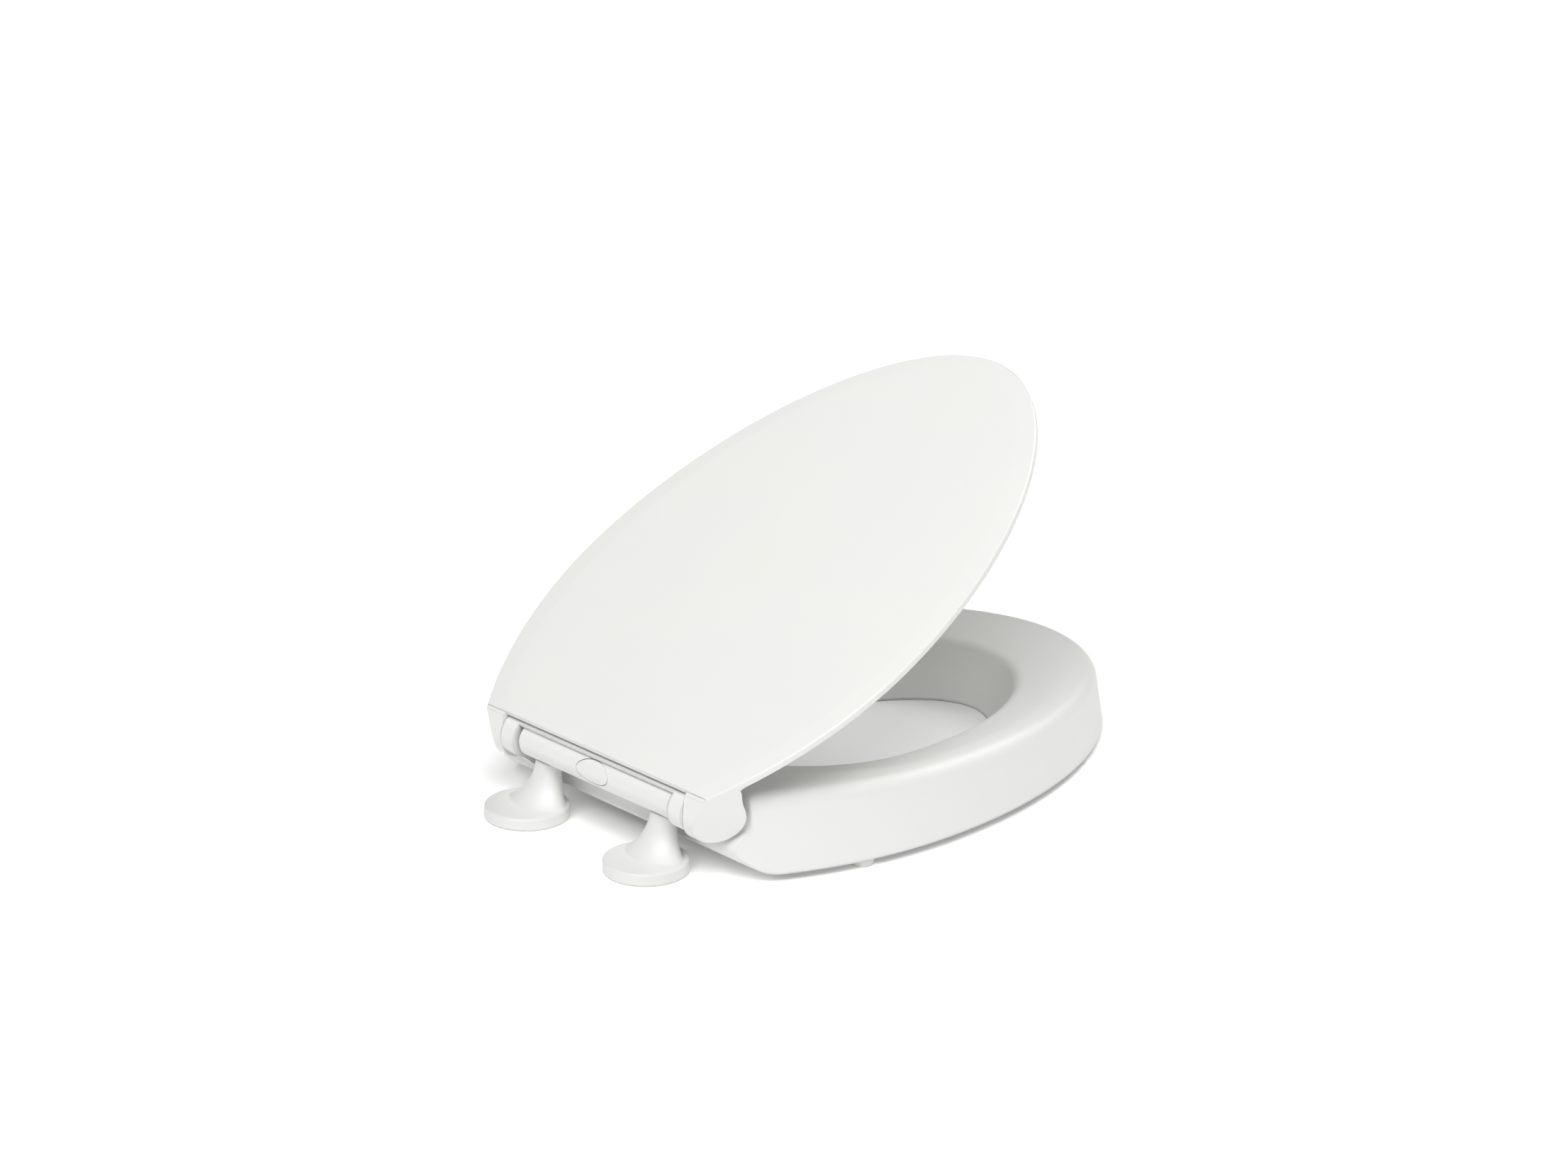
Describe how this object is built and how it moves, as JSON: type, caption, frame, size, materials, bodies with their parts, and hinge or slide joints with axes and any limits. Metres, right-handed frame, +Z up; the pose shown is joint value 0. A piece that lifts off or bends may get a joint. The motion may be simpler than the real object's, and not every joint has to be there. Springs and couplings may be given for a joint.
{
  "type": "raised toilet seat",
  "caption": "Raised toilet seat for an elongated bowl, with a soft-close lid, a hinge bar with a quick-release button, and offset mounting feet",
  "frame": {"origin": "midway between the two mounting bolts, on the plane the feet and bumpers stand on", "axes": "+X across the seat to its left side seen from behind, -Y towards the front of the seat, +Z up"},
  "size_m": [0.3746, 0.5297, 0.2902],
  "materials": {
    "seat_plastic": "semi-gloss moulded",
    "lid_plastic": "semi-gloss moulded",
    "hinge_plastic": "semi-gloss moulded",
    "bumper_plastic": "soft satin",
    "acetal": "moulded acetal",
    "damper_plastic": "moulded",
    "steel": "turned",
    "brass": "turned",
    "pad_rubber": "matt"
  },
  "bodies": {
    "mounts": {"foot_cover_left": "hinge_plastic", "base_plate_left": "acetal", "foot_pad_left": "pad_rubber", "bolt_insert_left": "brass", "mounting_post_left": "steel", "foot_cover_right": "hinge_plastic", "base_plate_right": "acetal", "foot_pad_right": "pad_rubber", "bolt_insert_right": "brass", "mounting_post_right": "steel"},
    "bar": {"hinge_bar": "hinge_plastic", "button_spring": "steel", "damper_left": "damper_plastic", "damper_right": "damper_plastic", "latch_guide_left": "acetal", "latch_guide_right": "acetal"},
    "seat": {"seat_ring": "seat_plastic", "seat_bumper_rear_left": "bumper_plastic", "seat_bumper_front_left": "bumper_plastic", "knuckle_bush_left": "acetal", "seat_bumper_rear_right": "bumper_plastic", "seat_bumper_front_right": "bumper_plastic", "knuckle_bush_right": "acetal"},
    "lid": {"lid": "lid_plastic", "lid_bumper_rear_left": "bumper_plastic", "lid_bumper_front_left": "bumper_plastic", "hinge_pin_left": "steel", "lid_bumper_rear_right": "bumper_plastic", "lid_bumper_front_right": "bumper_plastic", "hinge_pin_right": "steel"},
    "button": {"release_button": "hinge_plastic"},
    "latch_left": {"latch_plate_left": "acetal"},
    "latch_right": {"latch_plate_right": "acetal"}
  },
  "joints": [
    {"name": "lift_off", "type": "slide", "parent": "mounts", "child": "bar", "axis": [0, 0, 1], "range_m": [0, 0.05]},
    {"name": "seat_raise", "type": "hinge", "parent": "bar", "child": "seat", "pos_m": [0, -0.0196, 0.053], "axis": [-1, 0, 0], "range_deg": [0, 58]},
    {"name": "lid_open", "type": "hinge", "parent": "seat", "child": "lid", "pos_m": [0, -0.0196, 0.053], "axis": [-1, 0, 0], "range_deg": [-30.35, 64]},
    {"name": "button_press", "type": "slide", "parent": "bar", "child": "button", "axis": [0, -1, 0], "range_m": [0, 0.003], "stiffness_N_per_m": 600, "deforming": ["button_spring"]},
    {"name": "latch_left_slide", "type": "slide", "parent": "bar", "child": "latch_left", "axis": [1, 0, 0], "range_m": [0, 0.003]},
    {"name": "latch_right_slide", "type": "slide", "parent": "bar", "child": "latch_right", "axis": [-1, 0, 0], "range_m": [0, 0.003]}
  ],
  "couplings": [
    {"joint": "latch_left_slide", "follows": "button_press", "ratio": 1},
    {"joint": "latch_right_slide", "follows": "button_press", "ratio": 1}
  ]
}
